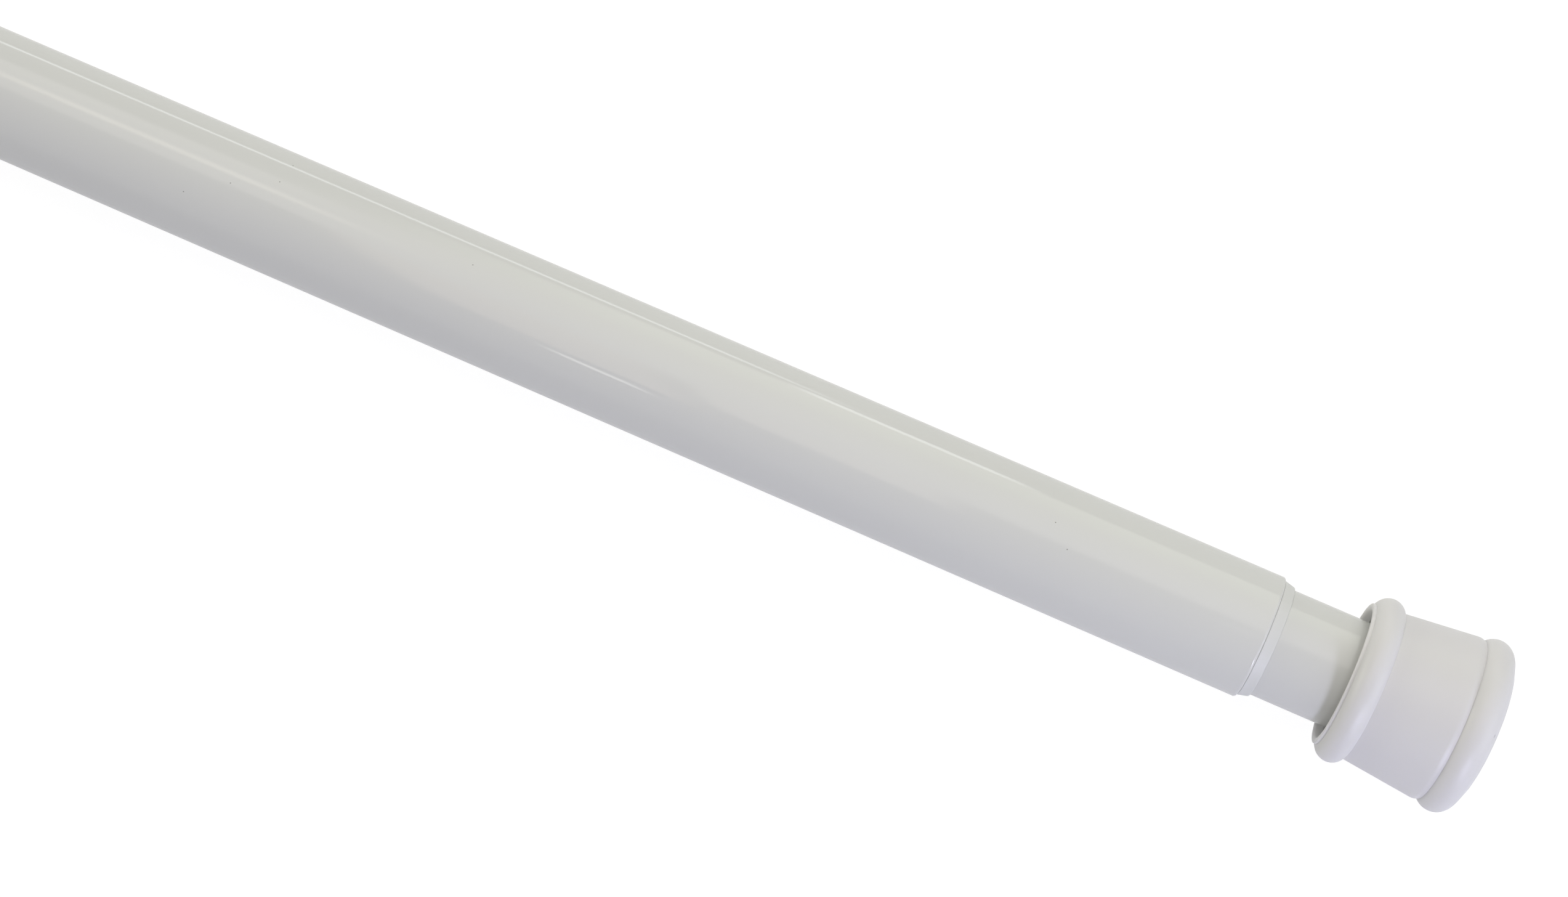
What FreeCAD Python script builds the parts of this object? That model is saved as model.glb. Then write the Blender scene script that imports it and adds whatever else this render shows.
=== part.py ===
# Spring tension rod: two telescoping steel tubes with a moulded cap and a rubber pad at each end.
# Inside, a twist lock grips the outer tube, and a spring pushes the inner tube out against the wall.
# The rod lies along X, with its origin at the centre of the outer tube's wall face and +Z up.

import FreeCAD, Part
import math
import os

import Sketcher

doc = FreeCAD.newDocument("spring_tension_rod")

# Driving dimensions in millimetres, apart from counts and angles in degrees
drivingSizes = {
    # Tubes
    "outer_tube_diameter": 25.4,
    "outer_tube_wall": 0.7,
    "outer_tube_length": 573,
    "inner_tube_diameter": 22.2,
    "inner_tube_wall": 0.6,
    "inner_tube_length": 420,
    "tube_edge_share": 0.7,
    "tube_exposure": 14.9,
    # Clearances all round a sliding or turning piece, and round one that is pressed in
    "running_clearance": 0.1,
    "seat_clearance": 0.03,
    # Trim ring in the outer tube's mouth
    "ring_nose_length": 2.3,
    "ring_sleeve_length": 14,
    "ring_land": 0.15,
    "ring_front_height": 0.45,
    "ring_nose_radius": 0.3,
    # End caps, alike outside
    "cap_length": 28.8,
    "cap_mouth_clearance": 1.0,
    "cap_lip_wall": 1.2,
    "cap_lip_stand": 0.55,
    "cap_lip_radius": 0.3,
    "mouth_bead_radius": 3.05,
    "mouth_bead_rise": 2.3,
    "barrel_step": 0.5,
    "barrel_flare": 1.6,
    "barrel_round_width": 1.9,
    "groove_depth": 0.35,
    "end_bead_radius": 3.5,
    "end_bead_rise": 1.0,
    "cap_end_wall": 2.5,
    "spigot_length": 18,
    "spigot_wall": 1.8,
    "spigot_lead": 0.8,
    "spigot_rib_height": 0.35,
    "spigot_rib_width": 1.0,
    "spigot_rib_count": 6,
    # Rubber wall pads
    "pad_recess_depth": 1.6,
    "pad_stand": 0.8,
    "pad_rim_width": 1.2,
    "pad_edge_radius": 0.6,
    "pad_groove_depth": 0.4,
    "pad_groove_width": 1.0,
    "pad_groove_pitch": 3.5,
    "pad_groove_count": 2,
    # Guide plug in the inner tube's hidden end
    "plug_flange_length": 6,
    "plug_body_length": 30,
    "plug_shell": 1.8,
    "plug_hub_wall": 2.2,
    "plug_core_depth": 22,
    "plug_web_width": 1.6,
    "plug_web_count": 4,
    "plug_lead": 0.8,
    "spring_recess_depth": 2.5,
    "spring_recess_clearance": 0.3,
    # Spindle with a double flat shank, a collar, a screw end and a stud
    "spindle_diameter": 8,
    "spindle_flats": 6.5,
    "spindle_edge": 0.5,
    "collar_diameter": 14,
    "collar_thickness": 3,
    "screw_end_length": 39,
    "stud_diameter": 6,
    "stud_length": 9,
    # Compression spring at its fitted length
    "spring_diameter": 18,
    "spring_wire": 2.0,
    "spring_length": 62,
    "spring_pitch": 7.25,
    # Washers and fasteners
    "spring_washer_thickness": 1.2,
    "stop_washer_diameter": 18,
    "stop_washer_thickness": 1.5,
    "nut_width": 10,
    "nut_height": 5,
    "nut_chamfer": 0.6,
    "end_washer_diameter": 13,
    "end_washer_thickness": 1.2,
    "end_screw_diameter": 3.4,
    "end_screw_length": 9,
    "end_screw_head_diameter": 7,
    "end_screw_head_height": 2.6,
    "end_screw_dome": 0.8,
    "end_screw_socket_width": 2.5,
    "end_screw_socket_depth": 1.4,
    "end_hole_spare": 1.5,
    # Lock sleeve, slit into fingers from its open end
    "sleeve_length": 34,
    "sleeve_base_length": 9,
    "sleeve_rim_wall": 2.3,
    "sleeve_taper_degrees": 8.8,
    "slit_width": 2.4,
    "slit_length": 24,
    "slit_count": 4,
    "grip_groove_depth": 0.5,
    "grip_groove_width": 1.4,
    "grip_groove_pitch": 4,
    "grip_groove_count": 4,
    # Cone nut, keyed in the slits
    "cone_length": 16,
    "cone_inset": 2,
    "key_width": 2.0,
    "key_drop": 0.6,
}

# Radii and places that follow from the driving dimensions
derivedSizes = {
    "outer_radius": "sizes.outer_tube_diameter / 2",
    "outer_bore": "outer_radius - sizes.outer_tube_wall",
    "inner_radius": "sizes.inner_tube_diameter / 2",
    "inner_bore": "inner_radius - sizes.inner_tube_wall",
    "tube_edge": "sizes.tube_edge_share * sizes.outer_tube_wall",
    # Trim ring
    "ring_bore": "inner_radius + sizes.running_clearance",
    "ring_sleeve": "outer_bore - sizes.seat_clearance",
    "ring_base": "outer_bore + sizes.ring_land",
    "ring_front": "inner_radius + sizes.ring_front_height",
    # Cap outline, measured along X from the lip's face
    "cap_mouth": "outer_radius + sizes.cap_mouth_clearance",
    "cap_lip": "cap_mouth + sizes.cap_lip_wall",
    "mouth_bead_rim": "cap_lip + sizes.mouth_bead_rise - sizes.mouth_bead_radius",
    "mouth_bead_middle": "sizes.cap_lip_stand + sizes.mouth_bead_radius",
    "lip_root": "mouth_bead_middle - sqrt(sizes.mouth_bead_radius ^ 2 - (cap_lip - mouth_bead_rim) ^ 2)",
    "barrel_small": "cap_lip + sizes.barrel_step",
    "barrel_root": "mouth_bead_middle"
                   " + sqrt(sizes.mouth_bead_radius ^ 2 - (barrel_small - mouth_bead_rim) ^ 2)",
    "barrel_large": "barrel_small + sizes.barrel_flare",
    "groove": "barrel_large - sizes.groove_depth",
    "end_bead_rim": "barrel_large + sizes.end_bead_rise - sizes.end_bead_radius",
    "end_bead_middle": "sizes.cap_length - sizes.end_bead_radius",
    "groove_place": "end_bead_middle - sqrt(sizes.end_bead_radius ^ 2 - (groove - end_bead_rim) ^ 2)",
    "barrel_end": "groove_place - sizes.barrel_round_width",
    "barrel_round": "(sizes.barrel_round_width ^ 2 + sizes.groove_depth ^ 2) / (2 * sizes.groove_depth)",
    "cap_recess": "end_bead_rim - sizes.pad_rim_width",
    "cap_recess_floor": "sizes.cap_length - sizes.pad_recess_depth",
    "cap_floor": "cap_recess_floor - sizes.cap_end_wall",
    "spigot_tip": "cap_floor - sizes.spigot_length",
    # Pad
    "pad_radius": "cap_recess - sizes.seat_clearance",
    "pad_thickness": "sizes.pad_recess_depth + sizes.pad_stand",
    # Places along the rod
    "outer_cap_lip": "sizes.pad_stand + sizes.cap_length",
    "outer_tube_start": "outer_cap_lip - cap_floor",
    "outer_tube_mouth": "outer_tube_start + sizes.outer_tube_length",
    "inner_cap_lip": "outer_tube_mouth + sizes.ring_nose_length + sizes.tube_exposure",
    "inner_tube_start": "inner_cap_lip + cap_floor - sizes.inner_tube_length",
    "plug_end": "inner_tube_start + sizes.plug_body_length",
    "spring_start": "inner_tube_start - sizes.plug_flange_length + sizes.spring_recess_depth"
                    " - sizes.spring_length",
    "collar_face": "spring_start - sizes.spring_washer_thickness",
    "screw_end_start": "collar_face - sizes.collar_thickness",
    "sleeve_start": "screw_end_start - sizes.running_clearance - sizes.sleeve_length",
    "cone_start": "sleeve_start + sizes.cone_inset",
    "spindle_end": "screw_end_start - sizes.screw_end_length",
    "end_washer_start": "spindle_end - sizes.end_washer_thickness",
    # Guide plug
    "plug_body": "inner_bore - sizes.seat_clearance",
    "plug_flange": "outer_bore - sizes.running_clearance",
    "plug_core": "plug_body - sizes.plug_shell",
    "plug_core_floor": "sizes.plug_body_length - sizes.plug_core_depth",
    "plug_flats": "sizes.spindle_flats / 2 + sizes.running_clearance",
    "plug_bore": "spindle_radius + sizes.running_clearance",
    "plug_hub": "plug_bore + sizes.plug_hub_wall",
    "spring_recess": "sizes.spring_diameter / 2 + sizes.spring_recess_clearance",
    # Spindle and fasteners
    "spindle_radius": "sizes.spindle_diameter / 2",
    "stud_radius": "sizes.stud_diameter / 2",
    "shank_length": "plug_end - collar_face",
    "stud_end": "shank_length + sizes.stud_length",
    "end_screw_radius": "sizes.end_screw_diameter / 2",
    "end_hole": "end_screw_radius + sizes.seat_clearance",
    "end_hole_floor": "sizes.end_screw_length + sizes.end_hole_spare - sizes.end_washer_thickness",
    "nut_corner": "sizes.nut_width / sqrt(3)",
    "coil_radius": "(sizes.spring_diameter - sizes.spring_wire) / 2",
    # Lock sleeve and cone nut, measured along X from the sleeve's open end
    "sleeve_outside": "outer_bore - sizes.running_clearance",
    "sleeve_mouth": "sleeve_outside - sizes.sleeve_rim_wall",
    "sleeve_throat_place": "sizes.sleeve_length - sizes.sleeve_base_length",
    "sleeve_slope": "tan(sizes.sleeve_taper_degrees * 1deg)",
    "sleeve_throat": "sleeve_mouth - sleeve_throat_place * sleeve_slope",
    "turning_bore": "spindle_radius + sizes.running_clearance",
    "cone_large": "sleeve_mouth - sizes.cone_inset * sleeve_slope - sizes.running_clearance",
    "cone_small": "cone_large - sizes.cone_length * sleeve_slope",
    "key_crest": "sleeve_outside - sizes.key_drop",
}


def fillSheet(name, cells):
    sheet = doc.addObject("Spreadsheet::Sheet", name)
    for row, (alias, content) in enumerate(cells.items(), start=1):
        sheet.set(f"A{row}", alias)
        sheet.set(f"B{row}", str(content))
        sheet.setAlias(f"B{row}", alias)
    doc.recompute()
    return sheet


sizes = fillSheet("sizes", drivingSizes)
derived = fillSheet("derived", {alias: "=" + formula for alias, formula in derivedSizes.items()})


def valueOf(expression):
    return float(derived.evalExpression(expression))


def numbered(count):
    return range(1, round(valueOf(count)) + 1)


def newBody(name, start="0"):
    body = doc.addObject("PartDesign::Body", name)
    body.Label = name
    body.setExpression("Placement.Base.x", start)
    return body


def originFeature(body, role):
    return next(feature for feature in body.Origin.OriginFeatures if feature.Role == role)


# A sketch on one of the body's own planes; on YZ_Plane it can stand off along X
def newSketch(body, name, plane, standOff="0"):
    sketch = body.newObject("Sketcher::SketchObject", name)
    sketch.AttachmentSupport = [(originFeature(body, plane), "")]
    sketch.MapMode = "FlatFace"
    sketch.setExpression("AttachmentOffset.Base.z", standOff)
    return sketch


def bindPoint(sketch, edge, end, x, y, number):
    for kind, axis, expression in (("X", -2, x), ("Y", -1, y)):
        if expression == "0":
            sketch.addConstraint(Sketcher.Constraint("PointOnObject", edge, end, axis))
            continue
        datum = Sketcher.Constraint("Distance" + kind, -1, 1, edge, end, valueOf(expression))
        sketch.renameConstraint(sketch.addConstraint(datum), f"{kind.lower()}_{number}")
        sketch.setExpression(f"Constraints.{kind.lower()}_{number}", expression)


def arcBetween(begin, end, radius, turn):
    chord = end - begin
    side = FreeCAD.Vector(-chord.y, chord.x, 0).normalize() * turn
    centre = (begin + end) / 2 + side * math.sqrt(radius ** 2 - (chord.Length / 2) ** 2)
    first, last = (begin, end) if turn > 0 else (end, begin)
    angles = [math.atan2(point.y - centre.y, point.x - centre.x) for point in (first, last)]
    return Part.ArcOfCircle(Part.Circle(centre, FreeCAD.Vector(0, 0, 1), radius), *angles)


# A closed outline from bound corners: (x, y) ends a straight edge, and (x, y, radius, turn) ends an
# arc of under half a circle, with turn 1 for counter-clockwise and -1 for clockwise
def drawOutline(sketch, corners):
    points = [FreeCAD.Vector(valueOf(corner[0]), valueOf(corner[1]), 0) for corner in corners]
    edges = []
    for number, corner in enumerate(corners):
        begin, end = points[number - 1], points[number]
        if len(corner) == 2:
            edges.append((sketch.addGeometry(Part.LineSegment(begin, end)), 1, 2))
            continue
        radius, turn = corner[2:]
        edge = sketch.addGeometry(arcBetween(begin, end, valueOf(radius), turn))
        edges.append((edge, 1, 2) if turn > 0 else (edge, 2, 1))
    for number, (edge, edgeBegin, edgeEnd) in enumerate(edges):
        before, _, beforeEnd = edges[number - 1]
        sketch.addConstraint(Sketcher.Constraint("Coincident", before, beforeEnd, edge, edgeBegin))
        bindPoint(sketch, edge, edgeEnd, corners[number][0], corners[number][1], number)
        if len(corners[number]) > 2:
            radius = corners[number][2]
            datum = Sketcher.Constraint("Radius", edge, valueOf(radius))
            sketch.renameConstraint(sketch.addConstraint(datum), f"radius_{number}")
            sketch.setExpression(f"Constraints.radius_{number}", radius)


# A solid of revolution about X from its half outline
def turnedSolid(body, name, corners, kind="PartDesign::Revolution"):
    sketch = newSketch(body, name + "_outline", "XZ_Plane")
    drawOutline(sketch, corners)
    feature = body.newObject(kind, name)
    feature.Profile = sketch
    feature.ReferenceAxis = (sketch, ["H_Axis"])
    feature.Angle = 360
    doc.recompute()
    return feature


# A section across the rod carried along X from its stand-off, added or cut
def straightRun(body, name, corners, standOff, length, kind="PartDesign::Pad"):
    sketch = newSketch(body, name + "_section", "YZ_Plane", standOff)
    drawOutline(sketch, corners)
    feature = body.newObject(kind, name)
    feature.Profile = sketch
    feature.setExpression("Length", length)
    feature.Reversed = kind == "PartDesign::Pocket"
    doc.recompute()
    return feature


def repeatAround(body, name, feature, count):
    pattern = body.newObject("PartDesign::PolarPattern", name)
    pattern.Originals = [feature]
    pattern.Axis = (originFeature(body, "X_Axis"), [""])
    pattern.Angle = 360
    pattern.setExpression("Occurrences", count)
    body.Tip = pattern
    doc.recompute()
    return pattern


def upright(halfWidth, low, high):
    return [(f"-{halfWidth}", low), (halfWidth, low), (halfWidth, high), (f"-{halfWidth}", high)]


def doubleFlat(radius, flats):
    reach = f"sqrt(({radius}) ^ 2 - ({flats}) ^ 2)"
    return [
        (reach, flats, radius, 1),
        (f"-{reach}", flats),
        (f"-{reach}", f"-{flats}", radius, 1),
        (reach, f"-{flats}"),
    ]


def hexagon(corner, width):
    half = f"{width} / 2"
    return [
        (corner, "0"),
        (f"{corner} / 2", half),
        (f"-{corner} / 2", half),
        (f"-{corner}", "0"),
        (f"-{corner} / 2", f"-{half}"),
        (f"{corner} / 2", f"-{half}"),
    ]


def makeOuterTube():
    body = newBody("outer_tube", "derived.outer_tube_start")
    length = "sizes.outer_tube_length"
    turnedSolid(body, "outer_tube_wall", [
        ("0", "derived.outer_bore"),
        ("0", "derived.outer_radius"),
        (f"{length} - derived.tube_edge", "derived.outer_radius"),
        (length, "derived.outer_radius - derived.tube_edge", "derived.tube_edge", -1),
        (length, "derived.outer_bore"),
    ])
    return body


def makeInnerTube():
    body = newBody("inner_tube", "derived.inner_tube_start")
    length = "sizes.inner_tube_length"
    turnedSolid(body, "inner_tube_wall", [
        ("0", "derived.inner_bore"),
        ("0", "derived.inner_radius"),
        (length, "derived.inner_radius"),
        (length, "derived.inner_bore"),
    ])
    return body


# The collar's sleeve fits the outer tube's bore, and its tapered nose sits on the tube's end
def makeTrimRing():
    body = newBody("trim_ring", "derived.outer_tube_mouth")
    nose = "sizes.ring_nose_length"
    rounding = "sizes.ring_nose_radius"
    turnedSolid(body, "trim_ring_turned", [
        ("-sizes.ring_sleeve_length", "derived.ring_bore"),
        ("-sizes.ring_sleeve_length", "derived.ring_sleeve"),
        ("0", "derived.ring_sleeve"),
        ("0", "derived.ring_base"),
        (f"{nose} - {rounding}", "derived.ring_front"),
        (nose, f"derived.ring_front - {rounding}", rounding, -1),
        (nose, "derived.ring_bore"),
    ])
    return body


# A cap has a lip, a bead, a flared barrel, a fine groove and an end bead, with a pad recess in its
# end and a hollow ribbed spigot inside that plugs its own tube
def makeEndCap(name, lip, tubeBore, turned):
    body = newBody(name, lip)
    body.Placement.Rotation = FreeCAD.Rotation(FreeCAD.Vector(0, 0, 1), turned)
    crest = f"({tubeBore} - sizes.seat_clearance)"
    spigot = f"({crest} - sizes.spigot_rib_height)"
    lipRadius = "sizes.cap_lip_radius"
    turnedSolid(body, name + "_turned", [
        (lipRadius, "derived.cap_mouth"),
        ("0", f"derived.cap_mouth + {lipRadius}", lipRadius, -1),
        ("0", f"derived.cap_lip - {lipRadius}"),
        (lipRadius, "derived.cap_lip", lipRadius, -1),
        ("derived.lip_root", "derived.cap_lip"),
        ("derived.barrel_root", "derived.barrel_small", "sizes.mouth_bead_radius", -1),
        ("derived.barrel_end", "derived.barrel_large"),
        ("derived.groove_place", "derived.groove", "derived.barrel_round", -1),
        ("sizes.cap_length", "derived.end_bead_rim", "sizes.end_bead_radius", -1),
        ("sizes.cap_length", "derived.cap_recess"),
        ("derived.cap_recess_floor", "derived.cap_recess"),
        ("derived.cap_recess_floor", "0"),
        ("derived.cap_floor", "0"),
        ("derived.cap_floor", f"{spigot} - sizes.spigot_wall"),
        ("derived.spigot_tip", f"{spigot} - sizes.spigot_wall"),
        ("derived.spigot_tip", f"{spigot} - sizes.spigot_lead"),
        ("derived.spigot_tip + sizes.spigot_lead", spigot),
        ("derived.cap_floor", spigot),
        ("derived.cap_floor", "derived.cap_mouth"),
    ])
    ribSection = upright("sizes.spigot_rib_width / 2", f"{spigot} - sizes.spigot_rib_height", crest)
    ribStart = "derived.spigot_tip + sizes.spigot_lead"
    rib = straightRun(body, name + "_rib", ribSection, ribStart, "sizes.spigot_length - sizes.spigot_lead")
    repeatAround(body, name + "_ribs", rib, "sizes.spigot_rib_count")
    return body


# A pad fills its cap's recess and stands proud of it, with two grip grooves in its face
def makeEndPad(name, recessFloor, turned):
    body = newBody(name, recessFloor)
    body.Placement.Rotation = FreeCAD.Rotation(FreeCAD.Vector(0, 0, 1), turned)
    face = "derived.pad_thickness"
    rounding = "sizes.pad_edge_radius"
    corners = [
        ("0", "0"),
        ("0", "derived.pad_radius"),
        (f"{face} - {rounding}", "derived.pad_radius"),
        (face, f"derived.pad_radius - {rounding}", rounding, -1),
    ]
    for ring in numbered("sizes.pad_groove_count"):
        outer = f"derived.pad_radius - {ring} * sizes.pad_groove_pitch"
        inner = f"{outer} - sizes.pad_groove_width"
        floor = f"{face} - sizes.pad_groove_depth"
        corners += [(face, outer), (floor, outer), (floor, inner), (face, inner)]
    corners.append((face, "0"))
    turnedSolid(body, name + "_turned", corners)
    return body


# The plug is cored from inside the tube, with webs between its hub and shell; its flange guides in
# the outer tube and holds the spring's end in a recess
def makeGuidePlug():
    body = newBody("guide_plug", "derived.inner_tube_start")
    flange = "-sizes.plug_flange_length"
    recessFloor = f"{flange} + sizes.spring_recess_depth"
    tip = "sizes.plug_body_length"
    turnedSolid(body, "guide_plug_turned", [
        (recessFloor, "0"),
        (recessFloor, "derived.spring_recess"),
        (flange, "derived.spring_recess"),
        (flange, "derived.plug_flange"),
        ("0", "derived.plug_flange"),
        ("0", "derived.plug_body"),
        (f"{tip} - sizes.plug_lead", "derived.plug_body"),
        (tip, "derived.plug_body - sizes.plug_lead"),
        (tip, "derived.plug_core"),
        ("derived.plug_core_floor", "derived.plug_core"),
        ("derived.plug_core_floor", "derived.plug_hub"),
        (tip, "derived.plug_hub"),
        (tip, "0"),
    ])
    webSection = upright(
        "sizes.plug_web_width / 2",
        "derived.plug_hub - sizes.plug_hub_wall / 2",
        "derived.plug_core + sizes.plug_shell / 2",
    )
    web = straightRun(body, "guide_plug_web", webSection, "derived.plug_core_floor", "sizes.plug_core_depth")
    repeatAround(body, "guide_plug_webs", web, "sizes.plug_web_count")
    boreSection = doubleFlat("derived.plug_bore", "derived.plug_flats")
    boreLength = "sizes.plug_flange_length + sizes.plug_body_length"
    straightRun(body, "guide_plug_bore", boreSection, flange, boreLength, "PartDesign::Pocket")
    return body


# The spindle is measured from its collar's spring side: shank and stud to +X, screw end to -X
def makeSpindle():
    body = newBody("spindle", "derived.collar_face")
    collar = "-sizes.collar_thickness"
    end = f"{collar} - sizes.screw_end_length"
    edge = "sizes.spindle_edge"
    turnedSolid(body, "spindle_turned", [
        (f"{end} + derived.end_hole_floor", "0"),
        (f"{end} + derived.end_hole_floor", "derived.end_hole"),
        (end, "derived.end_hole"),
        (end, f"derived.spindle_radius - {edge}"),
        (f"{end} + {edge}", "derived.spindle_radius"),
        (collar, "derived.spindle_radius"),
        (collar, "sizes.collar_diameter / 2"),
        ("0", "sizes.collar_diameter / 2"),
        ("0", "derived.stud_radius"),
        (f"derived.stud_end - {edge}", "derived.stud_radius"),
        ("derived.stud_end", f"derived.stud_radius - {edge}"),
        ("derived.stud_end", "0"),
    ])
    shankSection = doubleFlat("derived.spindle_radius", "sizes.spindle_flats / 2")
    straightRun(body, "spindle_shank", shankSection, "0", "derived.shank_length")
    return body


# A coil of constant pitch, ground flat at both ends
def makeCompressionSpring():
    body = newBody("compression_spring", "derived.spring_start")
    sketch = newSketch(body, "spring_wire_section", "XZ_Plane")
    centre = FreeCAD.Vector(0, valueOf("derived.coil_radius"), 0)
    wire = sketch.addGeometry(Part.Circle(centre, FreeCAD.Vector(0, 0, 1), valueOf("sizes.spring_wire / 2")))
    bindPoint(sketch, wire, 3, "0", "derived.coil_radius", 0)
    radius = sketch.addConstraint(Sketcher.Constraint("Radius", wire, valueOf("sizes.spring_wire / 2")))
    sketch.renameConstraint(radius, "wire_radius")
    sketch.setExpression("Constraints.wire_radius", "sizes.spring_wire / 2")
    coil = body.newObject("PartDesign::AdditiveHelix", "spring_coil")
    coil.Profile = sketch
    coil.ReferenceAxis = (sketch, ["H_Axis"])
    coil.Mode = "pitch-height-angle"
    coil.setExpression("Pitch", "sizes.spring_pitch")
    coil.setExpression("Height", "sizes.spring_length")
    doc.recompute()
    groundEnds = {"spring_ground_start": "-sizes.spring_wire", "spring_ground_end": "sizes.spring_length"}
    for name, low in groundEnds.items():
        turnedSolid(body, name, [
            (low, "0"),
            (f"{low} + sizes.spring_wire", "0"),
            (f"{low} + sizes.spring_wire", "sizes.spring_diameter"),
            (low, "sizes.spring_diameter"),
        ], "PartDesign::Groove")
    return body


def makeWasher(name, start, bore, outside, thickness):
    body = newBody(name, start)
    turnedSolid(body, name + "_turned", [
        ("0", bore),
        ("0", outside),
        (thickness, outside),
        (thickness, bore),
    ])
    return body


def makeStopNut():
    body = newBody("stop_nut", "derived.plug_end + sizes.stop_washer_thickness")
    height = "sizes.nut_height"
    straightRun(body, "stop_nut_prism", hexagon("derived.nut_corner", "sizes.nut_width"), "0", height)
    boreRadius = "derived.stud_radius + sizes.seat_clearance"
    turnedSolid(body, "stop_nut_bore", [
        ("0", "0"),
        (height, "0"),
        (height, boreRadius),
        ("0", boreRadius),
    ], "PartDesign::Groove")
    turnedSolid(body, "stop_nut_chamfer", [
        (height, "sizes.nut_width / 2"),
        (height, "derived.nut_corner + sizes.nut_chamfer"),
        (f"{height} - sizes.nut_chamfer", "derived.nut_corner + sizes.nut_chamfer"),
    ], "PartDesign::Groove")
    return body


# The sleeve's base turns on the spindle against the collar; its fingers grip the outer tube
def makeLockSleeve():
    body = newBody("lock_sleeve", "derived.sleeve_start")
    end = "sizes.sleeve_length"
    outside = "derived.sleeve_outside"
    groove = f"{outside} - sizes.grip_groove_depth"
    corners = [("0", "derived.sleeve_mouth"), ("0", outside)]
    for ring in numbered("sizes.grip_groove_count"):
        near = f"{ring} * sizes.grip_groove_pitch"
        far = f"{near} + sizes.grip_groove_width"
        corners += [(near, outside), (near, groove), (far, groove), (far, outside)]
    corners += [
        (end, outside),
        (end, "derived.turning_bore"),
        ("derived.sleeve_throat_place", "derived.turning_bore"),
        ("derived.sleeve_throat_place", "derived.sleeve_throat"),
    ]
    turnedSolid(body, "lock_sleeve_turned", corners)
    slitSection = upright("sizes.slit_width / 2", "derived.turning_bore", "derived.outer_radius")
    slit = straightRun(body, "lock_sleeve_slit", slitSection, "0", "sizes.slit_length", "PartDesign::Pocket")
    repeatAround(body, "lock_sleeve_slits", slit, "sizes.slit_count")
    return body


# The cone matches the sleeve's taper, with a key in each slit so that it can't turn there
def makeConeNut():
    body = newBody("cone_nut", "derived.cone_start")
    turnedSolid(body, "cone_nut_turned", [
        ("0", "derived.turning_bore"),
        ("0", "derived.cone_large"),
        ("sizes.cone_length", "derived.cone_small"),
        ("sizes.cone_length", "derived.turning_bore"),
    ])
    keySection = upright(
        "sizes.key_width / 2",
        "(derived.turning_bore + derived.cone_small) / 2",
        "derived.key_crest",
    )
    key = straightRun(body, "cone_nut_key", keySection, "0", "sizes.cone_length")
    repeatAround(body, "cone_nut_keys", key, "sizes.slit_count")
    return body


# A domed screw with a hexagon socket, measured from under its head
def makeEndScrew():
    body = newBody("end_screw", "derived.end_washer_start")
    face = "-sizes.end_screw_head_height"
    dome = "sizes.end_screw_dome"
    turnedSolid(body, "end_screw_turned", [
        (face, "0"),
        (face, f"sizes.end_screw_head_diameter / 2 - {dome}"),
        (f"{face} + {dome}", "sizes.end_screw_head_diameter / 2", dome, -1),
        ("0", "sizes.end_screw_head_diameter / 2"),
        ("0", "derived.end_screw_radius"),
        ("sizes.end_screw_length", "derived.end_screw_radius"),
        ("sizes.end_screw_length", "0"),
    ])
    socket = hexagon("sizes.end_screw_socket_width / sqrt(3)", "sizes.end_screw_socket_width")
    socketDepth = "sizes.end_screw_socket_depth"
    straightRun(body, "end_screw_socket", socket, face, socketDepth, "PartDesign::Pocket")
    return body


parts = [
    makeOuterTube(),
    makeInnerTube(),
    makeTrimRing(),
    makeEndCap("outer_end_cap", "derived.outer_cap_lip", "derived.outer_bore", 180),
    makeEndCap("inner_end_cap", "derived.inner_cap_lip", "derived.inner_bore", 0),
    makeEndPad("outer_end_pad", "derived.outer_cap_lip - derived.cap_recess_floor", 180),
    makeEndPad("inner_end_pad", "derived.inner_cap_lip + derived.cap_recess_floor", 0),
    makeGuidePlug(),
    makeSpindle(),
    makeCompressionSpring(),
    makeWasher(
        "spring_washer",
        "derived.collar_face",
        "derived.turning_bore",
        "sizes.spring_diameter / 2",
        "sizes.spring_washer_thickness",
    ),
    makeWasher(
        "stop_washer",
        "derived.plug_end",
        "derived.stud_radius + sizes.seat_clearance",
        "sizes.stop_washer_diameter / 2",
        "sizes.stop_washer_thickness",
    ),
    makeStopNut(),
    makeLockSleeve(),
    makeConeNut(),
    makeWasher(
        "end_washer",
        "derived.end_washer_start",
        "derived.end_screw_radius + sizes.running_clearance",
        "sizes.end_washer_diameter / 2",
        "sizes.end_washer_thickness",
    ),
    makeEndScrew(),
]

doc.recompute()
cuts = ("PartDesign::Pocket", "PartDesign::Groove")
for item in doc.Objects:
    if "Invalid" in item.State or "Error" in item.State:
        raise RuntimeError(f"{item.Label} failed: {item.State}")
    if item.TypeId in cuts and item.Shape.Volume >= item.BaseFeature.Shape.Volume:
        raise RuntimeError(f"{item.Label} cuts nothing")
for part in parts:
    if part.Shape.isNull() or not part.Shape.isValid():
        raise RuntimeError(f"{part.Label} has no valid shape")

os.makedirs("parts", exist_ok=True)
for part in parts:
    part.Shape.exportStep(f"parts/{part.Label}.step")
    print(f"{part.Label}: {part.Shape.Volume / 1000:.2f} cm3, {len(part.Shape.Solids)} solid")
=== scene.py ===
import math

import bmesh
import bpy
from mathutils import Matrix, Vector


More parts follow.
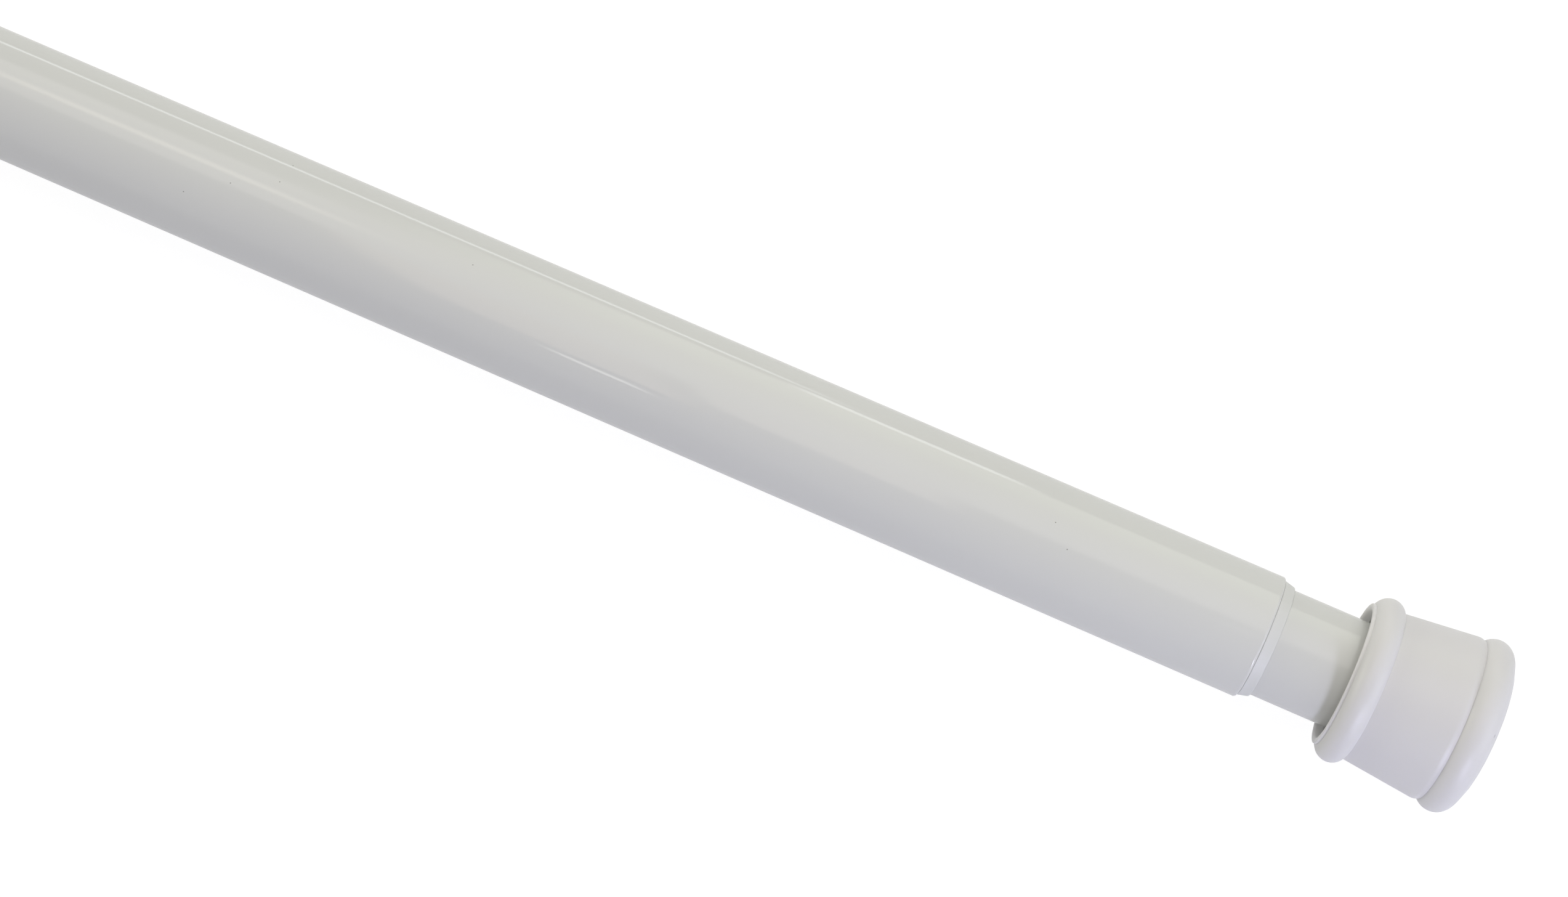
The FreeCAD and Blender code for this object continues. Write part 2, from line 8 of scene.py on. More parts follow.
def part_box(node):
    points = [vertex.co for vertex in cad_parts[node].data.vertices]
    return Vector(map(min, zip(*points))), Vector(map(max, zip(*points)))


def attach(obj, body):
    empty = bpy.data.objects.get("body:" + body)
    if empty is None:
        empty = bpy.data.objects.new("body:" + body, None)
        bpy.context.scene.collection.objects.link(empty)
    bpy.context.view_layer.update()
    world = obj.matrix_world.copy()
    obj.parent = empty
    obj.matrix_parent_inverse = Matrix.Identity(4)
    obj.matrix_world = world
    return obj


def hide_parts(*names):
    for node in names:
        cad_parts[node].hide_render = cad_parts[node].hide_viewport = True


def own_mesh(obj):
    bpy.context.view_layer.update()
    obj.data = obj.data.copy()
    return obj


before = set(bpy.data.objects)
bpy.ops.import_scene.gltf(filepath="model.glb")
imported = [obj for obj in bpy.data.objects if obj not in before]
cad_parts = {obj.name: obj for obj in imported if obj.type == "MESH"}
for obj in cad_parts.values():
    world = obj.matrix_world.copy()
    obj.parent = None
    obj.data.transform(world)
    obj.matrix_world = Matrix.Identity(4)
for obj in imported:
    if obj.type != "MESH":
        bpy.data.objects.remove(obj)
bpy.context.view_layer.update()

mm = 0.001  # the object and the floor are given in millimetres, the lamps and the camera in metres


def linearColour(hexText):
    parts = [int(hexText[i:i + 2], 16) / 255 for i in (1, 3, 5)]
    return tuple(p / 12.92 if p <= 0.04045 else ((p + 0.055) / 1.055) ** 2.4 for p in parts) + (1.0,)


def fillSockets(tree, node, values):
    for socket, value in values.items():
        if isinstance(value, bpy.types.NodeSocket):
            tree.links.new(value, node.inputs[socket])
        else:
            node.inputs[socket].default_value = value


def addNode(tree, kind, values=None, **settings):
    node = tree.nodes.new(kind)
    for name, value in settings.items():
        setattr(node, name, value)
    fillSockets(tree, node, values or {})
    return node


# materials

def newMaterial(name):
    material = bpy.data.materials.new(name)
    material.use_nodes = True
    tree = material.node_tree
    surface = next(node for node in tree.nodes if node.type == "BSDF_PRINCIPLED")
    place = addNode(tree, "ShaderNodeTexCoord").outputs["Object"]
    return material, tree, surface, place


def addNoise(tree, place, width, detail, roughness=0.5):
    return addNode(tree, "ShaderNodeTexNoise", {
        "Vector": place, "Scale": 1 / (width * mm), "Detail": detail, "Roughness": roughness,
    }).outputs["Fac"]


def addBump(tree, pattern, height):
    return addNode(tree, "ShaderNodeBump", {
        "Height": pattern, "Distance": height * mm, "Strength": 1.0,
    }).outputs["Normal"]


# the mix node's colours are its inputs 6 and 7 and its output 2
def mixColours(tree, share, first, second):
    return addNode(tree, "ShaderNodeMix", {0: share, 6: first, 7: second}, data_type="RGBA").outputs[2]


def addSpecks(tree, place, colour, finish):
    for along, angle, radius in finish["specks"]:
        turn = math.radians(angle)
        spot = (along * mm, radius * mm * math.cos(turn), radius * mm * math.sin(turn))
        away = addNode(tree, "ShaderNodeVectorMath", {0: place, 1: spot}, operation="DISTANCE")
        speck = addNode(tree, "ShaderNodeMapRange", {
            "Value": away.outputs["Value"],
            "From Min": finish["speckSize"] * mm,
            "From Max": finish["speckSize"] * mm / 2,
        })
        colour = mixColours(tree, speck.outputs["Result"], colour, linearColour(finish["speckColour"]))
    return colour


enamel = {
    "colour": "#D0D1CD",
    "deepColour": "#CDCECA",
    "roughness": 0.06,
    "ior": 1.5,
    "cloudWidth": 45,  # slow drift in the coat's thickness
    "peelWidth": 1.6,  # orange peel
    "peelHeight": 0.003,
    "speckColour": "#94958F",
    "speckSize": 0.17,
    "specks": [  # along the rod, degrees round it from its far side, and out from its axis
        (336.4, 23.6, 12.7), (346.2, 120.4, 12.7), (354.6, 96.2, 12.7), (363.5, 52.4, 12.7),
        (363.4, 76.5, 12.7), (406.4, 76.4, 12.7), (532.3, 82.3, 12.7), (536.4, 100.4, 12.7),
    ],
}


# gloss enamel, sprayed and baked on a steel tube: a hard wet-looking coat over a clean cylinder,
# with a faint orange peel in the reflections and a few pinhead specks of dust
def makeEnamel():
    material, tree, surface, place = newMaterial("gloss enamel on steel tube")
    cloud = addNoise(tree, place, enamel["cloudWidth"], detail=2.0)
    coat = mixColours(tree, cloud, linearColour(enamel["colour"]), linearColour(enamel["deepColour"]))
    peel = addNoise(tree, place, enamel["peelWidth"], detail=1.0)
    fillSockets(tree, surface, {
        "Base Color": addSpecks(tree, place, coat, enamel),
        "Normal": addBump(tree, peel, enamel["peelHeight"]),
        "Roughness": enamel["roughness"],
        "IOR": enamel["ior"],
    })
    return material


# ABS, moulded in a fine satin tool: even and soft, with broad highlights
capPlastic = {
    "colour": "#D3D2D1",
    "deepColour": "#D0CFCF",
    "roughness": 0.43,
    "ior": 1.53,
    "glow": 0.35,  # a little light passes through the thin lip
    "glowDepth": 1.5,
    "cloudWidth": 14,
    "gritWidth": 0.35,
    "gritHeight": 0.002,
    "speckColour": "#B2B1B4",
    "speckSize": 0.45,
    "specks": [(623.6, 102.5, 15.94)],
}

# polypropylene, moulded smooth: as pale as the tubes, but dull, so its nose has no sharp highlight
ringPlastic = {
    "colour": "#D1D2CE",
    "deepColour": "#CDCECB",
    "roughness": 0.5,
    "ior": 1.53,
    "glow": 0.25,
    "glowDepth": 0.8,
    "cloudWidth": 9,
    "gritWidth": 0.3,
    "gritHeight": 0.0015,
    "specks": [],
}

# nylon, moulded in its natural colour: cream and cloudy, so its edges look paler
nylonPlastic = {
    "colour": "#CFCCC2",
    "deepColour": "#C5C1B5",
    "roughness": 0.45,
    "ior": 1.53,
    "glow": 0.4,
    "glowDepth": 1.5,
    "cloudWidth": 6,
    "gritWidth": 0.5,
    "gritHeight": 0.004,
    "specks": [],
}

glowSpread = (1.0, 1.0, 0.9)  # blue light goes a little less deep into the plastic


def makeMouldedPlastic(name, plastic):
    material, tree, surface, place = newMaterial(name)
    cloud = addNoise(tree, place, plastic["cloudWidth"], detail=2.0)
    body = mixColours(tree, cloud, linearColour(plastic["colour"]), linearColour(plastic["deepColour"]))
    grit = addNoise(tree, place, plastic["gritWidth"], detail=2.0)
    fillSockets(tree, surface, {
        "Base Color": addSpecks(tree, place, body, plastic),
        "Normal": addBump(tree, grit, plastic["gritHeight"]),
        "Roughness": plastic["roughness"],
        "IOR": plastic["ior"],
        "Subsurface Weight": plastic["glow"],
        "Subsurface Radius": glowSpread,
        "Subsurface Scale": plastic["glowDepth"] * mm,
    })
    return material


rubber = {
    "colour": "#D0CFCD",
    "dustColour": "#D6D5D3",
    "roughness": 0.72,
    "ior": 1.5,
    "dustWidth": 5,
    "dustStart": 0.4, "dustFull": 0.7,  # levels of the noise between which the dust grows thick
    "gritWidth": 0.25,
    "gritHeight": 0.012,
}


# thermoplastic rubber, moulded against a blasted tool: dry and matt, with a bloom of pale dust
def makeRubber():
    material, tree, surface, place = newMaterial("thermoplastic rubber moulded matt")
    patches = addNode(tree, "ShaderNodeMapRange", {
        "Value": addNoise(tree, place, rubber["dustWidth"], detail=4.0, roughness=0.65),
        "From Min": rubber["dustStart"],
        "From Max": rubber["dustFull"],
    }).outputs["Result"]
    grit = addNoise(tree, place, rubber["gritWidth"], detail=3.0)
    fillSockets(tree, surface, {
        "Base Color": mixColours(
            tree, patches, linearColour(rubber["colour"]), linearColour(rubber["dustColour"]),
        ),
        "Normal": addBump(tree, grit, rubber["gritHeight"]),
        "Roughness": rubber["roughness"],
        "IOR": rubber["ior"],
    })
    return material


# bright zinc plate on turned steel: a pale metal sheen, broken by the cutter's fine lines and dull clouds
zincPlate = {
    "colour": "#C4C7CA",
    "deepColour": "#B2B5B8",
    "smooth": 0.24,
    "rough": 0.42,
    "cloudWidth": 4,
    "markWidth": 0.18,  # spacing of the cutter's marks along the rod
    "markHeight": 0.003,
}

# spring wire, drawn and oiled: a darker and duller grey metal with fainter marks
springWire = {
    "colour": "#8C8B88",
    "deepColour": "#6E6D6A",
    "smooth": 0.3,
    "rough": 0.5,
    "cloudWidth": 2.5,
    "markWidth": 0.15,
    "markHeight": 0.002,
}

markStretch = 0.04  # the marks run round the rod, 25 times as long as they are wide


def makeSteel(name, steel):
    material, tree, surface, place = newMaterial(name)
    cloud = addNoise(tree, place, steel["cloudWidth"], detail=3.0)
    dulled = addNode(tree, "ShaderNodeMapRange", {
        "Value": cloud, "To Min": steel["smooth"], "To Max": steel["rough"],
    })
    along = addNode(tree, "ShaderNodeMapping", {"Vector": place, "Scale": (1.0, markStretch, markStretch)})
    marks = addNoise(tree, along.outputs["Vector"], steel["markWidth"], detail=1.0)
    fillSockets(tree, surface, {
        "Base Color": mixColours(
            tree, cloud, linearColour(steel["colour"]), linearColour(steel["deepColour"]),
        ),
        "Roughness": dulled.outputs["Result"],
        "Normal": addBump(tree, marks, steel["markHeight"]),
        "Metallic": 1.0,
    })
    return material


enamelCoat = makeEnamel()
capFinish = makeMouldedPlastic("ABS moulded satin", capPlastic)
ringFinish = makeMouldedPlastic("polypropylene moulded smooth", ringPlastic)
nylonFinish = makeMouldedPlastic("nylon moulded natural", nylonPlastic)
padFinish = makeRubber()
zincFinish = makeSteel("bright zinc plate on turned steel", zincPlate)
wireFinish = makeSteel("drawn spring wire oiled", springWire)
print("materials made")


# outlines and turned pieces

turning = {
    "around": 192, "cornerSteps": 6, "sharpAngle": 32,
    "guardReach": 1.4,  # a guard point is this many times as far from the corner as the arc's end
    "guardRoom": 3,  # an edge has one only if it is longer than this many such distances
    "onAxis": 1e-6,  # a smaller radius is the axis itself
}


def arcPoints(centre, radius, start, end, steps):
    angles = [math.radians(start + (end - start) * i / steps) for i in range(steps + 1)]
    return [(centre[0] + radius * math.cos(a), centre[1] + radius * math.sin(a)) for a in angles]


# corners are (x, r) or (x, r, rounding); a rounding becomes an arc that meets both edges,
# with a guard point just outside it on each long edge, so that the edge beyond shades straight
def softCorners(corners):
    points = []
    steps = turning["cornerSteps"]
    for number, corner in enumerate(corners):
        here = Vector(corner[:2])
        if len(corner) == 2:
            points.append(tuple(here))
            continue
        before = Vector(corners[number - 1][:2]) - here
        after = Vector(corners[(number + 1) % len(corners)][:2]) - here
        half = before.angle(after) / 2
        reach = corner[2] / math.tan(half)
        guard = turning["guardReach"] * reach
        inward = (before.normalized() + after.normalized()).normalized()
        middle = here + inward * (corner[2] / math.sin(half))
        first = here + before.normalized() * reach - middle
        sweep = first.angle_signed(here + after.normalized() * reach - middle)
        if before.length > turning["guardRoom"] * guard:
            points.append(tuple(here + before.normalized() * guard))
        for i in range(steps + 1):
            points.append(tuple(middle + Matrix.Rotation(-sweep * i / steps, 2) @ first))
        if after.length > turning["guardRoom"] * guard:
            points.append(tuple(here + after.normalized() * guard))
    return points


def finishPiece(name, shape, sharpAngle, material, body, node):
    mesh = bpy.data.meshes.new(name)
    bmesh.ops.recalc_face_normals(shape, faces=shape.faces[:])
    shape.to_mesh(mesh)
    shape.free()
    mesh.shade_smooth()
    mesh.set_sharp_from_angle(angle=math.radians(sharpAngle))
    piece = bpy.data.objects.new(name, mesh)
    bpy.context.collection.objects.link(piece)
    mesh.materials.append(material)
    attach(piece, body)
    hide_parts(node)
    return piece


# turns a closed outline of (x, r) about the rod's axis; x runs from start, backwards if facing is -1
def turnedPiece(name, outline, start, facing, material, body, node):
    shape = bmesh.new()
    around = turning["around"]
    turns = [2 * math.pi * i / around for i in range(around)]
    circles = []
    for x, r in outline:
        place = start + facing * x * mm
        if r < turning["onAxis"]:
            circles.append([shape.verts.new((place, 0, 0))] * around)
            continue
        circles.append([shape.verts.new((place, r * mm * math.cos(a), r * mm * math.sin(a))) for a in turns])
    for number, circle in enumerate(circles):
        nextCircle = circles[(number + 1) % len(circles)]
        for i in range(around):
            j = (i + 1) % around
            corners = [circle[i], circle[j], nextCircle[j], nextCircle[i]]
            corners = [corner for k, corner in enumerate(corners) if corner is not corners[k - 1]]
            if len(corners) > 2:
                shape.faces.new(corners)
    finishPiece(name, shape, turning["sharpAngle"], material, body, node)


tube = {
    "outerRadius": 12.7, "outerWall": 0.7, "innerRadius": 11.1, "innerWall": 0.6,
    "mouthRounding": 0.58, "endRounding": 0.1,
}
outerLow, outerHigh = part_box("outer_tube")
innerLow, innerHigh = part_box("inner_tube")


def tubeOutline(radius, wall, length, rounding):
    end = tube["endRounding"]
    return softCorners([
        (0, radius - wall, end), (0, radius, end),
        (length, radius, rounding), (length, radius - wall, end),
    ])


outerLength = (outerHigh.x - outerLow.x) / mm
innerLength = (innerHigh.x - innerLow.x) / mm
turnedPiece(
    "outer_tube_enamelled",
    tubeOutline(tube["outerRadius"], tube["outerWall"], outerLength, tube["mouthRounding"]),
    outerLow.x, 1, enamelCoat, "outer", "outer_tube",
)
turnedPiece(
    "inner_tube_enamelled",
    tubeOutline(tube["innerRadius"], tube["innerWall"], innerLength, tube["endRounding"]),
    innerLow.x, 1, enamelCoat, "inner", "inner_tube",
)

ring = {
    "bore": 11.2, "boreEdge": 0.05, "sleeve": 11.97, "sleeveLength": 14, "base": 12.15, "baseEdge": 0.12,
    "front": 11.55, "nose": 2.3, "noseRounding": 0.28,
}
turnedPiece("trim_ring_moulded", softCorners([
    (-ring["sleeveLength"], ring["bore"]),
    (-ring["sleeveLength"], ring["sleeve"]),
    (0, ring["sleeve"]),
    (0, ring["base"], ring["baseEdge"]),
    (ring["nose"], ring["front"], ring["noseRounding"]),
    (ring["nose"], ring["bore"], ring["boreEdge"]),
]), outerHigh.x, 1, ringFinish, "outer", "trim_ring")

cap = {
    "length": 28.8, "mouth": 13.7, "lip": 14.9, "lipStand": 0.55, "lipEdge": 0.3, "lipInnerEdge": 0.85,
    # a countersink leads to a throat that clears the outer tube as the rod is pushed home
    "throat": 12.95, "throatDepth": 1.6, "throatEdge": 0.3,
    "mouthBead": 3.05, "mouthBeadRim": 14.15, "endBead": 3.5, "endBeadRim": 14.5, "beadSteps": 28,
    "barrelSmall": 15.4, "barrelLarge": 17.0, "groove": 16.65, "barrelRound": 1.35, "barrelSteps": 8,
    "barrelGuard": 0.04,  # share of the barrel, from its large end, after which it shades straight
    # beyond this angle the bead runs straight to a rim just short of the pad's face
    "endSlope": 22, "endStand": 0.7, "endEdge": 0.25,
    "recess": 13.3, "recessDepth": 1.6, "endWall": 2.5,
    "spigotLength": 18, "spigotWall": 1.8, "spigotLead": 0.8, "spigotGap": 0.38,
}


def angleUp(rise, radius):
    return math.degrees(math.asin(rise / radius))


def capOutline(tubeBore):
    steps = cap["beadSteps"]
    beadMiddle = cap["lipStand"] + cap["mouthBead"]
    lipAngle = 180 - angleUp(cap["lip"] - cap["mouthBeadRim"], cap["mouthBead"])
    rootAngle = angleUp(cap["barrelSmall"] - cap["mouthBeadRim"], cap["mouthBead"])
    mouthBead = arcPoints((beadMiddle, cap["mouthBeadRim"]), cap["mouthBead"], lipAngle, rootAngle, steps)
    endMiddle = cap["length"] - cap["endBead"]
    grooveAngle = 180 - angleUp(cap["groove"] - cap["endBeadRim"], cap["endBead"])
    endBead = arcPoints((endMiddle, cap["endBeadRim"]), cap["endBead"], grooveAngle, cap["endSlope"], steps)
    drop = cap["barrelLarge"] - cap["groove"]
    roundRadius = (cap["barrelRound"] ** 2 + drop ** 2) / (2 * drop)
    roundMiddle = (endBead[0][0] - cap["barrelRound"], cap["barrelLarge"] - roundRadius)
    roundAngle = 90 - angleUp(cap["barrelRound"], roundRadius)
    barrelRound = arcPoints(roundMiddle, roundRadius, 90, roundAngle, cap["barrelSteps"])
    barrelGuard = Vector(barrelRound[0]).lerp(Vector(mouthBead[-1]), cap["barrelGuard"])
    recessFloor = cap["length"] - cap["recessDepth"]
    capFloor = recessFloor - cap["endWall"]
    spigot = tubeBore - cap["spigotGap"]
    tip = capFloor - cap["spigotLength"]
    lip = softCorners([
        (capFloor, cap["throat"]), (cap["throatDepth"], cap["throat"], cap["throatEdge"]),
        (0, cap["mouth"], cap["lipInnerEdge"]), (0, cap["lip"], cap["lipEdge"]), mouthBead[0],
    ])[1:-1]
    rim = softCorners([
        endBead[-1],
        (cap["length"] + cap["endStand"], cap["recess"], cap["endEdge"]),
        (recessFloor, cap["recess"]),
    ])[1:-1]
    inside = [
        (recessFloor, cap["recess"]),
        (recessFloor, 0),
        (capFloor, 0),
        (capFloor, spigot - cap["spigotWall"]),
        (tip, spigot - cap["spigotWall"]),
        (tip, spigot - cap["spigotLead"]),
        (tip + cap["spigotLead"], spigot),
        (capFloor, spigot),
        (capFloor, cap["throat"]),
    ]
    return lip + mouthBead + [tuple(barrelGuard)] + barrelRound[:-1] + endBead + rim + inside


turnedPiece(
    "inner_end_cap_moulded", capOutline(tube["innerRadius"] - tube["innerWall"]),
    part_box("inner_end_cap")[0].x, 1, capFinish, "inner", "inner_end_cap",
)
turnedPiece(
    "outer_end_cap_moulded", capOutline(tube["outerRadius"] - tube["outerWall"]),
    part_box("outer_end_cap")[1].x, -1, capFinish, "outer", "outer_end_cap",
)

pad = {
    "radius": 13.27, "thickness": 2.4, "edge": 0.6, "bottomEdge": 0.15,
    "grooves": (9.77, 6.27), "grooveWidth": 1.0, "grooveDepth": 0.4, "grooveEdge": 0.12,
}


def padOutline():
    face, edge = pad["thickness"], pad["grooveEdge"]
    bottom = face - pad["grooveDepth"]
    corners = [(0, 0), (0, pad["radius"], pad["bottomEdge"]), (face, pad["radius"], pad["edge"])]
    for outer in pad["grooves"]:
        inner = outer - pad["grooveWidth"]
        corners += [(face, outer, edge), (bottom, outer, edge), (bottom, inner, edge), (face, inner, edge)]
    corners.append((face, 0))
    return softCorners(corners)


turnedPiece(
    "inner_end_pad_moulded", padOutline(),
    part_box("inner_end_pad")[0].x, 1, padFinish, "inner", "inner_end_pad",
)
turnedPiece(
    "outer_end_pad_moulded", padOutline(),
    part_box("outer_end_pad")[1].x, -1, padFinish, "outer", "outer_end_pad",
)
print("turned pieces made")


# spring, and the finishes of the pieces inside the tubes

spring = {
    "coilRadius": 8.0, "wireRadius": 1.0, "pitch": 7.25, "length": 62.0,
    "shortest": 40.0,  # with the rod pushed fully home
    "stepsPerTurn": 48, "around": 16, "sharpAngle": 40,
}


def makeSpring():
    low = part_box("compression_spring")[0].x
    radius, around = spring["coilRadius"], spring["around"]
    turns = spring["length"] / spring["pitch"]
    count = round(turns * spring["stepsPerTurn"])
    rise = spring["pitch"] / (2 * math.pi)
    shape = bmesh.new()
    circles = []
    for i in range(count + 1):
        turn = 2 * math.pi * turns * i / count
        outward = Vector((0, -math.sin(turn), math.cos(turn)))
        tangent = Vector((rise, -radius * math.cos(turn), -radius * math.sin(turn)))
        across = tangent.normalized().cross(outward)
        middle = outward * radius + Vector((rise * turn, 0, 0))
        circle = []
        for j in range(around):
            angle = 2 * math.pi * j / around
            point = middle + spring["wireRadius"] * (outward * math.cos(angle) + across * math.sin(angle))
            point.x = min(max(point.x, 0), spring["length"])  # the end coils are ground flat
            circle.append(shape.verts.new((low + point.x * mm, point.y * mm, point.z * mm)))
        circles.append(circle)
    for circle, nextCircle in zip(circles, circles[1:]):
        for j in range(around):
            k = (j + 1) % around
            shape.faces.new((circle[j], circle[k], nextCircle[k], nextCircle[j]))
    shape.faces.new(circles[0])
    shape.faces.new(circles[-1])
    piece = finishPiece(
        "compression_spring_coiled", shape, spring["sharpAngle"], wireFinish,
        "drive", "compression_spring",
    )
    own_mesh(piece)


makeSpring()

insideFinishes = {
    "guide_plug": nylonFinish, "lock_sleeve": nylonFinish, "cone_nut": nylonFinish,
    "spindle": zincFinish, "spring_washer": zincFinish, "stop_washer": zincFinish,
    "stop_nut": zincFinish, "end_washer": zincFinish, "end_screw": zincFinish,
}
for name, finish in insideFinishes.items():
    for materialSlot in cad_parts[name].material_slots:
        materialSlot.material = finish
print("inside pieces made")


# floor, light and camera

floor = {
    "colour": "#E2E2E2", "height": -18.0, "size": 12000, "shown": "#FFFFFF", "shownStrength": 1.2,
    "shade": 0.25,  # how much of the rod's shadow the white keeps
    "mirroredWhite": 0.4,  # reflections beside the rod look into that shadow
}
sky = {
    "light": "#F8F9FF", "lightStrength": 0.318, "shown": "#FFFFFF", "shownStrength": 1.0,
    "mirroredWhite": 1.0,
}


# one where the camera looks at the backdrop, the mirrored share where a reflection does,
# and none where the backdrop lights the rod
def backdropSeen(tree, mirrored):
    path = addNode(tree, "ShaderNodeLightPath")
    mirror = addNode(tree, "ShaderNodeMath", {
        0: path.outputs["Is Glossy Ray"], 1: mirrored,
    }, operation="MULTIPLY")
    return addNode(tree, "ShaderNodeMath", {
        0: path.outputs["Is Camera Ray"], 1: mirror.outputs[0],
    }, operation="MAXIMUM").outputs[0]


def makeFloor():
    half = floor["size"] * mm / 2
    height = floor["height"] * mm
    mesh = bpy.data.meshes.new("floor")
    corners = [(x, y, height) for x, y in ((-half, -half), (half, -half), (half, half), (-half, half))]
    mesh.from_pydata(corners, [], [(0, 1, 2, 3)])
    plane = bpy.data.objects.new("floor", mesh)
    bpy.context.collection.objects.link(plane)
    material = bpy.data.materials.new("matt white paper sweep")
    material.use_nodes = True
    tree = material.node_tree
    tree.nodes.clear()
    paper = addNode(tree, "ShaderNodeBsdfDiffuse", {"Color": linearColour(floor["colour"])})
    white = addNode(tree, "ShaderNodeEmission", {
        "Color": linearColour(floor["shown"]), "Strength": floor["shownStrength"],
    })
    share = addNode(tree, "ShaderNodeMath", {
        0: backdropSeen(tree, floor["mirroredWhite"]), 1: 1 - floor["shade"],
    }, operation="MULTIPLY")
    either = addNode(tree, "ShaderNodeMixShader", {
        0: share.outputs[0], 1: paper.outputs[0], 2: white.outputs[0],
    })
    addNode(tree, "ShaderNodeOutputMaterial", {"Surface": either.outputs[0]})
    mesh.materials.append(material)


def makeSky():
    world = bpy.data.worlds.new("white studio")
    bpy.context.scene.world = world
    world.use_nodes = True
    tree = world.node_tree
    tree.nodes.clear()
    light = addNode(tree, "ShaderNodeBackground", {
        "Color": linearColour(sky["light"]), "Strength": sky["lightStrength"],
    })
    shown = addNode(tree, "ShaderNodeBackground", {
        "Color": linearColour(sky["shown"]), "Strength": sky["shownStrength"],
    })
    either = addNode(tree, "ShaderNodeMixShader", {
        0: backdropSeen(tree, sky["mirroredWhite"]), 1: light.outputs[0], 2: shown.outputs[0],
    })
    addNode(tree, "ShaderNodeOutputWorld", {"Surface": either.outputs[0]})


# brightness is how bright the panel itself looks, where 1 is white; places and sizes in metres;
# fade is the share of the panel's width and height over which it dims towards each edge
lamps = {
    "overhead panel": {
        "colour": "#FFEBD3", "brightness": 1.0, "size": (0.256, 0.824), "fade": (0.2, 0.12),
        "place": (0.1825, -0.4175, 1.0), "aim": (0.1825, -0.4175, 0),
    },
    "right overhead panel": {
        "colour": "#FFF5E3", "brightness": 1.1, "size": (0.224, 0.42), "fade": (0.15, 0.06),
        "place": (0.38, -0.2525, 1.0), "aim": (0.38, -0.2525, 0),
    },
    "key softbox": {
        "colour": "#FFFAF4", "brightness": 0.98, "size": (1.75, 1.06), "fade": (0.1, 0.15),
        "place": (0.55, 0.344, 0.88), "aim": (0.55, -0.146, -0.12),
    },
    "low key softbox": {
        "colour": "#FCFFF2", "brightness": 1.33, "size": (1.75, 0.85), "fade": (0.2, 0.25),
        "place": (0.8, 1.025, 0.515), "aim": (0.8, 0.165, -0.915),
    },
    "low strip lamp": {
        "colour": "#F7FBFF", "brightness": 2.3, "size": (1.08, 0.14), "fade": (0.15, 0.15),
        "place": (-0.14, 1.5, 0.133), "aim": (-0.14, 0, 0),
    },
    "middle strip lamp": {
        "colour": "#F7FBFF", "brightness": 2.8, "size": (0.17, 0.11), "fade": (0.35, 0.2),
        "place": (0.025, 1.5, 0.133), "aim": (0.025, 0, 0),
    },
    "high strip lamp": {
        "colour": "#FCFFFF", "brightness": 3.0, "size": (0.24, 0.188), "fade": (0.2, 0.2),
        "place": (0.405, 1.5, 0.355), "aim": (0.405, 0, 0),
    },
    "short strip lamp": {
        "colour": "#FFFFFC", "brightness": 3.6, "size": (0.098, 0.17), "fade": (0.25, 0.15),
        "place": (0.172, -1.057, 1.0), "aim": (0.172, -1.057, 0),
    },
    "mouth strip lamp": {
        "colour": "#FFFFFC", "brightness": 1.6, "size": (0.03, 0.06), "fade": (0.3, 0.3),
        "place": (0.659, -0.2925, 1.0), "aim": (0.659, -0.2925, 0),
    },
    "left lamp": {
        "colour": "#FFF5E3", "brightness": 1.8, "size": (0.46, 0.3), "fade": (0.4, 0.5),
        "place": (-0.08, 0.36, 1.0), "aim": (-0.08, 0.36, 0),
    },
    "window": {
        "colour": "#E2E2FF", "brightness": 33.5, "size": (0.156, 0.156), "fade": (0.1, 0.1),
        "place": (0.95, -0.55, 0.25), "aim": (0.6, 0, 0),
    },
    "right softbox": {
        "colour": "#EDF4FF", "brightness": 1.61, "size": (0.75, 1.0), "fade": (0.2, 0.2),
        "place": (1.5, -0.1, 0.5), "aim": (0.6, 0, 0),
    },
    "left softbox": {
        "colour": "#FEFFEB", "brightness": 4.75, "size": (1.0, 1.0), "fade": (0.2, 0.2),
        "place": (-1.2, 0, 0.25), "aim": (0.6, 0, 0),
    },
}


# full in the panel's middle, none at both edges; position runs from 0 to 1 across it
def fadedAcross(tree, position, share):
    middle = 0.5
    fromEdge = addNode(tree, "ShaderNodeMath", {0: position, 1: middle}, operation="PINGPONG")
    return addNode(tree, "ShaderNodeMapRange", {
        "Value": fromEdge.outputs[0], "From Min": 0.0, "From Max": share,
    }, interpolation_type="SMOOTHSTEP").outputs["Result"]


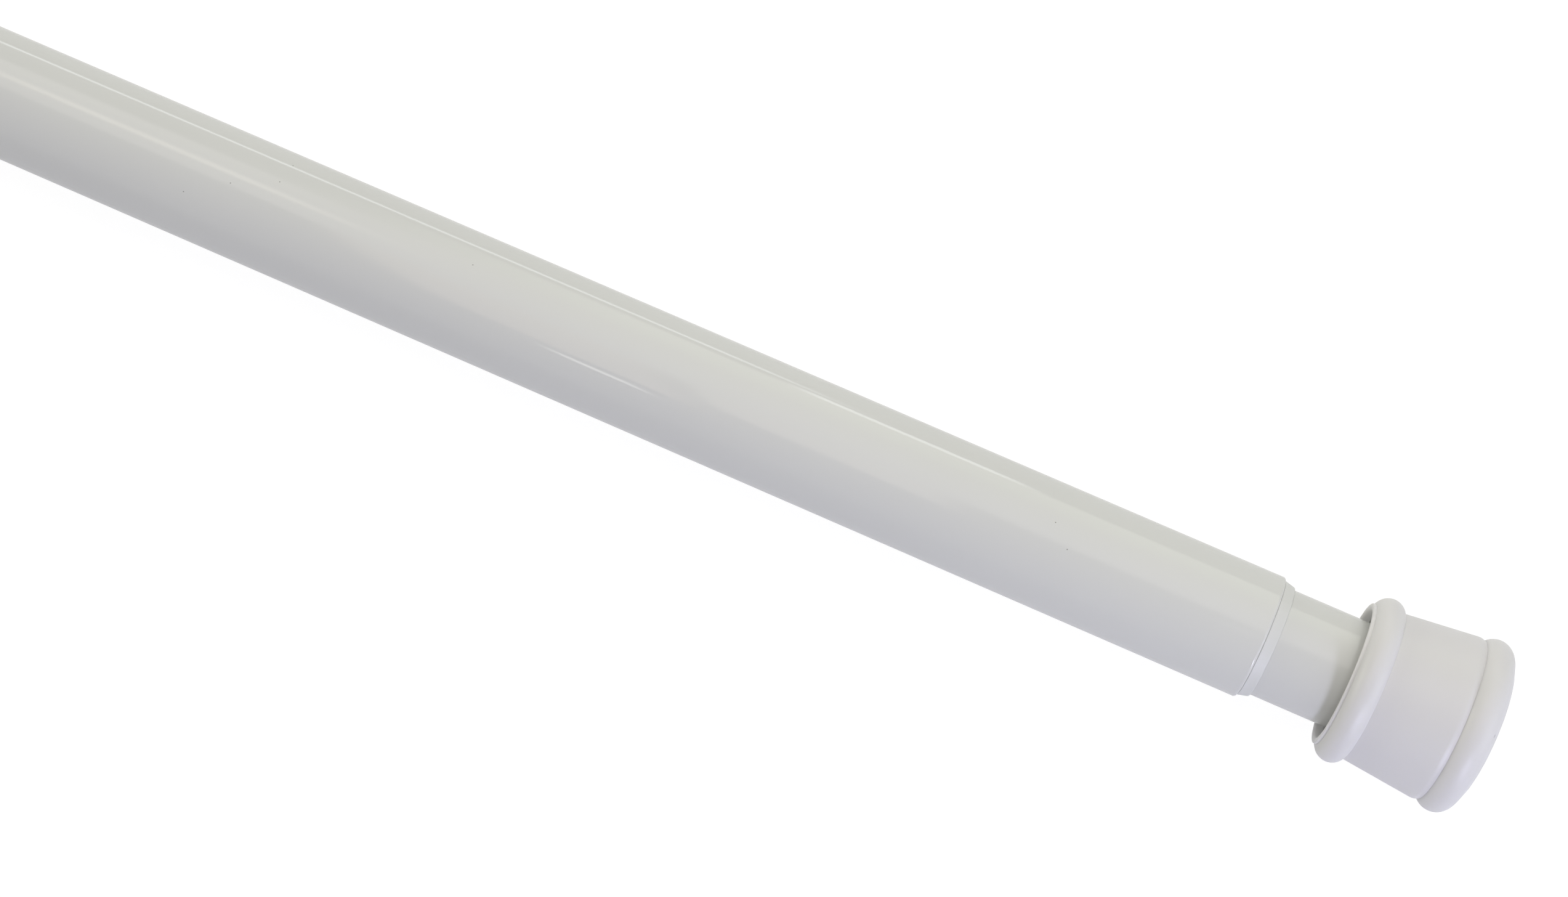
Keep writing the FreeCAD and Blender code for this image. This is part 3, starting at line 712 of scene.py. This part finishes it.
def makeLamps():
    for name, lamp in lamps.items():
        panel = bpy.data.lights.new(name, "AREA")
        panel.shape = "RECTANGLE"
        panel.size, panel.size_y = lamp["size"]
        panel.energy = lamp["brightness"] * math.pi * panel.size * panel.size_y
        panel.color = linearColour(lamp["colour"])[:3]
        panel.use_nodes = True
        tree = panel.node_tree
        tree.nodes.clear()
        across = addNode(tree, "ShaderNodeSeparateXYZ", {
            "Vector": addNode(tree, "ShaderNodeNewGeometry").outputs["Parametric"],
        })
        fades = [fadedAcross(tree, across.outputs[i], lamp["fade"][i]) for i in (0, 1)]
        strength = addNode(tree, "ShaderNodeMath", {0: fades[0], 1: fades[1]}, operation="MULTIPLY")
        glow = addNode(tree, "ShaderNodeEmission", {"Strength": strength.outputs[0]})
        addNode(tree, "ShaderNodeOutputLight", {"Surface": glow.outputs[0]})
        holder = bpy.data.objects.new(name, panel)
        place = Vector(lamp["place"])
        holder.location = place
        holder.rotation_euler = (Vector(lamp["aim"]) - place).to_track_quat("-Z", "Y").to_euler()
        holder.visible_camera = False
        bpy.context.collection.objects.link(holder)


# the photograph's view, set by where the outer tube's mouth falls in its frame; distances in metres
view = {
    "azimuth": 24.11, "elevation": 75.2, "photoSize": (2546, 1456), "focalPixels": 4200,
    "mouthPixel": (2046.6, 1034.5), "mouthDistance": 0.5075, "nearest": 0.01,
}


def makeCamera():
    lens = bpy.data.cameras.new("camera")
    camera = bpy.data.objects.new("camera", lens)
    bpy.context.collection.objects.link(camera)
    bpy.context.scene.camera = camera
    lens.sensor_fit = "HORIZONTAL"
    lens.lens = lens.sensor_width * view["focalPixels"] / view["photoSize"][0]
    lens.clip_start = view["nearest"]
    turn, lift = math.radians(view["azimuth"]), math.radians(view["elevation"])
    back = Vector((math.sin(turn) * math.cos(lift), -math.cos(turn) * math.cos(lift), math.sin(lift)))
    camera.rotation_euler = (-back).to_track_quat("-Z", "Y").to_euler()
    scale = view["mouthDistance"] / view["focalPixels"]
    across, down = [(view["mouthPixel"][i] - view["photoSize"][i] / 2) * scale for i in (0, 1)]
    mouthSeen = Vector((across, -down, -view["mouthDistance"]))
    camera.location = Vector((outerHigh.x, 0, 0)) - camera.rotation_euler.to_matrix() @ mouthSeen


makeFloor()
makeSky()
makeLamps()
makeCamera()
bpy.context.scene.view_settings.view_transform = "Standard"
print("stage set")
